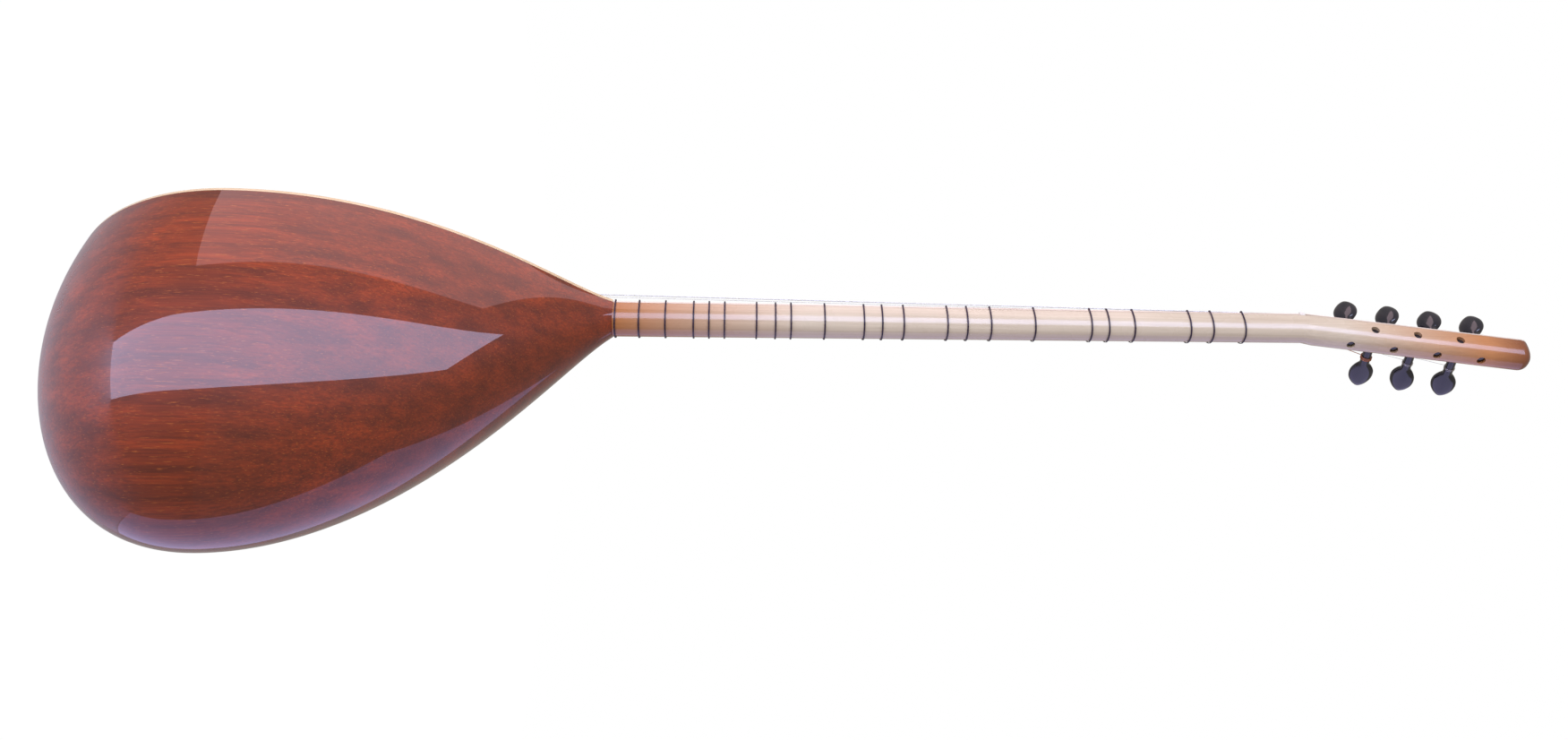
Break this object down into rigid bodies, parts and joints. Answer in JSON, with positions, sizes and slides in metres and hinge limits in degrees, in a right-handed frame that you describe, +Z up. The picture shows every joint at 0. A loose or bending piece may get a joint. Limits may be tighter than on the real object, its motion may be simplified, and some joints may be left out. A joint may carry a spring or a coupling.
{
  "type": "divan saz",
  "caption": "Long-necked plucked lute with a deep carved bowl, tied movable frets, turning pegs, a loose bridge and a slightly tilted head.",
  "frame": {"origin": "on the front face of the neck's fingerboard, under the crown of the nut, on the centre line", "axes": "+Z up the neck towards the head, -Y out of the soundboard towards the player's picking hand, +Y out of the bowl's round back, +X to the right of a viewer who faces the back"},
  "size_m": [0.265, 0.3022, 1.3545],
  "materials": {
    "bowl_lacquer": "gloss",
    "soundboard_wood": "satin",
    "neck_wood": "gloss",
    "front_overlay": "satin",
    "dark_wood": "satin",
    "bone": "satin",
    "peg_black": "gloss",
    "steel": "satin",
    "copper": "satin",
    "fret_nylon": "satin"
  },
  "bodies": {
    "root": {"bowl": "bowl_lacquer", "soundboard": "soundboard_wood", "brace_upper": "soundboard_wood", "brace_lower": "soundboard_wood", "neck": "neck_wood", "fingerboard": "front_overlay", "head_facing": "front_overlay", "nut": "bone", "string_holder": "dark_wood", "string_1": "copper", "string_2": "steel", "string_3": "steel", "string_4": "steel", "string_5": "steel", "string_6": "steel", "string_7": "copper"},
    "bridge": {"bridge": "dark_wood"},
    "front_peg_1": {"front_peg_1": "peg_black"},
    "front_peg_2": {"front_peg_2": "peg_black"},
    "front_peg_3": {"front_peg_3": "peg_black"},
    "front_peg_4": {"front_peg_4": "peg_black"},
    "side_peg_1": {"side_peg_1": "peg_black"},
    "side_peg_2": {"side_peg_2": "peg_black"},
    "side_peg_3": {"side_peg_3": "peg_black"},
    "fret_01": {"fret_01": "fret_nylon"},
    "fret_02": {"fret_02": "fret_nylon"},
    "fret_03": {"fret_03": "fret_nylon"},
    "fret_04": {"fret_04": "fret_nylon"},
    "fret_05": {"fret_05": "fret_nylon"},
    "fret_06": {"fret_06": "fret_nylon"},
    "fret_07": {"fret_07": "fret_nylon"},
    "fret_08": {"fret_08": "fret_nylon"},
    "fret_09": {"fret_09": "fret_nylon"},
    "fret_10": {"fret_10": "fret_nylon"},
    "fret_11": {"fret_11": "fret_nylon"},
    "fret_12": {"fret_12": "fret_nylon"},
    "fret_13": {"fret_13": "fret_nylon"},
    "fret_14": {"fret_14": "fret_nylon"},
    "fret_15": {"fret_15": "fret_nylon"},
    "fret_16": {"fret_16": "fret_nylon"},
    "fret_17": {"fret_17": "fret_nylon"},
    "fret_18": {"fret_18": "fret_nylon"},
    "fret_19": {"fret_19": "fret_nylon"},
    "fret_20": {"fret_20": "fret_nylon"},
    "fret_21": {"fret_21": "fret_nylon"},
    "fret_22": {"fret_22": "fret_nylon"},
    "fret_23": {"fret_23": "fret_nylon"}
  },
  "joints": [
    {"name": "bridge_slide", "type": "slide", "parent": "root", "child": "bridge", "axis": [0, 0, 1], "range_m": [-0.002, 0.01]},
    {"name": "front_peg_1_turn", "type": "hinge", "parent": "root", "child": "front_peg_1", "pos_m": [0, 0.03067, 0.04029], "axis": [0, -0.9648, 0.263], "continuous": true},
    {"name": "front_peg_2_turn", "type": "hinge", "parent": "root", "child": "front_peg_2", "pos_m": [0, 0.03735, 0.07922], "axis": [0, -0.9648, 0.263], "continuous": true},
    {"name": "front_peg_3_turn", "type": "hinge", "parent": "root", "child": "front_peg_3", "pos_m": [0, 0.04404, 0.11815], "axis": [0, -0.9648, 0.263], "continuous": true},
    {"name": "front_peg_4_turn", "type": "hinge", "parent": "root", "child": "front_peg_4", "pos_m": [0, 0.05073, 0.15708], "axis": [0, -0.9648, 0.263], "continuous": true},
    {"name": "side_peg_1_turn", "type": "hinge", "parent": "root", "child": "side_peg_1", "pos_m": [0.0133, 0.02264, 0.06267], "axis": [-0.9954, 0.0162, 0.0945], "continuous": true},
    {"name": "side_peg_2_turn", "type": "hinge", "parent": "root", "child": "side_peg_2", "pos_m": [0.0133, 0.02919, 0.10081], "axis": [-0.9954, 0.0162, 0.0945], "continuous": true},
    {"name": "side_peg_3_turn", "type": "hinge", "parent": "root", "child": "side_peg_3", "pos_m": [0.0133, 0.03575, 0.13895], "axis": [-0.9954, 0.0162, 0.0945], "continuous": true},
    {"name": "fret_01_slide", "type": "slide", "parent": "root", "child": "fret_01", "axis": [0, 0, 1], "range_m": [-0.005, 0.005]},
    {"name": "fret_02_slide", "type": "slide", "parent": "root", "child": "fret_02", "axis": [0, 0, 1], "range_m": [-0.005, 0.005]},
    {"name": "fret_03_slide", "type": "slide", "parent": "root", "child": "fret_03", "axis": [0, 0, 1], "range_m": [-0.005, 0.005]},
    {"name": "fret_04_slide", "type": "slide", "parent": "root", "child": "fret_04", "axis": [0, 0, 1], "range_m": [-0.005, 0.005]},
    {"name": "fret_05_slide", "type": "slide", "parent": "root", "child": "fret_05", "axis": [0, 0, 1], "range_m": [-0.005, 0.005]},
    {"name": "fret_06_slide", "type": "slide", "parent": "root", "child": "fret_06", "axis": [0, 0, 1], "range_m": [-0.005, 0.005]},
    {"name": "fret_07_slide", "type": "slide", "parent": "root", "child": "fret_07", "axis": [0, 0, 1], "range_m": [-0.005, 0.005]},
    {"name": "fret_08_slide", "type": "slide", "parent": "root", "child": "fret_08", "axis": [0, 0, 1], "range_m": [-0.005, 0.005]},
    {"name": "fret_09_slide", "type": "slide", "parent": "root", "child": "fret_09", "axis": [0, 0, 1], "range_m": [-0.005, 0.005]},
    {"name": "fret_10_slide", "type": "slide", "parent": "root", "child": "fret_10", "axis": [0, 0, 1], "range_m": [-0.005, 0.005]},
    {"name": "fret_11_slide", "type": "slide", "parent": "root", "child": "fret_11", "axis": [0, 0, 1], "range_m": [-0.005, 0.005]},
    {"name": "fret_12_slide", "type": "slide", "parent": "root", "child": "fret_12", "axis": [0, 0, 1], "range_m": [-0.005, 0.005]},
    {"name": "fret_13_slide", "type": "slide", "parent": "root", "child": "fret_13", "axis": [0, 0, 1], "range_m": [-0.005, 0.005]},
    {"name": "fret_14_slide", "type": "slide", "parent": "root", "child": "fret_14", "axis": [0, 0, 1], "range_m": [-0.005, 0.005]},
    {"name": "fret_15_slide", "type": "slide", "parent": "root", "child": "fret_15", "axis": [0, 0, 1], "range_m": [-0.005, 0.005]},
    {"name": "fret_16_slide", "type": "slide", "parent": "root", "child": "fret_16", "axis": [0, 0, 1], "range_m": [-0.005, 0.005]},
    {"name": "fret_17_slide", "type": "slide", "parent": "root", "child": "fret_17", "axis": [0, 0, 1], "range_m": [-0.005, 0.005]},
    {"name": "fret_18_slide", "type": "slide", "parent": "root", "child": "fret_18", "axis": [0, 0, 1], "range_m": [-0.005, 0.005]},
    {"name": "fret_19_slide", "type": "slide", "parent": "root", "child": "fret_19", "axis": [0, 0, 1], "range_m": [-0.005, 0.005]},
    {"name": "fret_20_slide", "type": "slide", "parent": "root", "child": "fret_20", "axis": [0, 0, 1], "range_m": [-0.005, 0.005]},
    {"name": "fret_21_slide", "type": "slide", "parent": "root", "child": "fret_21", "axis": [0, 0, 1], "range_m": [-0.005, 0.005]},
    {"name": "fret_22_slide", "type": "slide", "parent": "root", "child": "fret_22", "axis": [0, 0, 1], "range_m": [-0.005, 0.005]},
    {"name": "fret_23_slide", "type": "slide", "parent": "root", "child": "fret_23", "axis": [0, 0, 1], "range_m": [-0.0005, 0.005]}
  ]
}
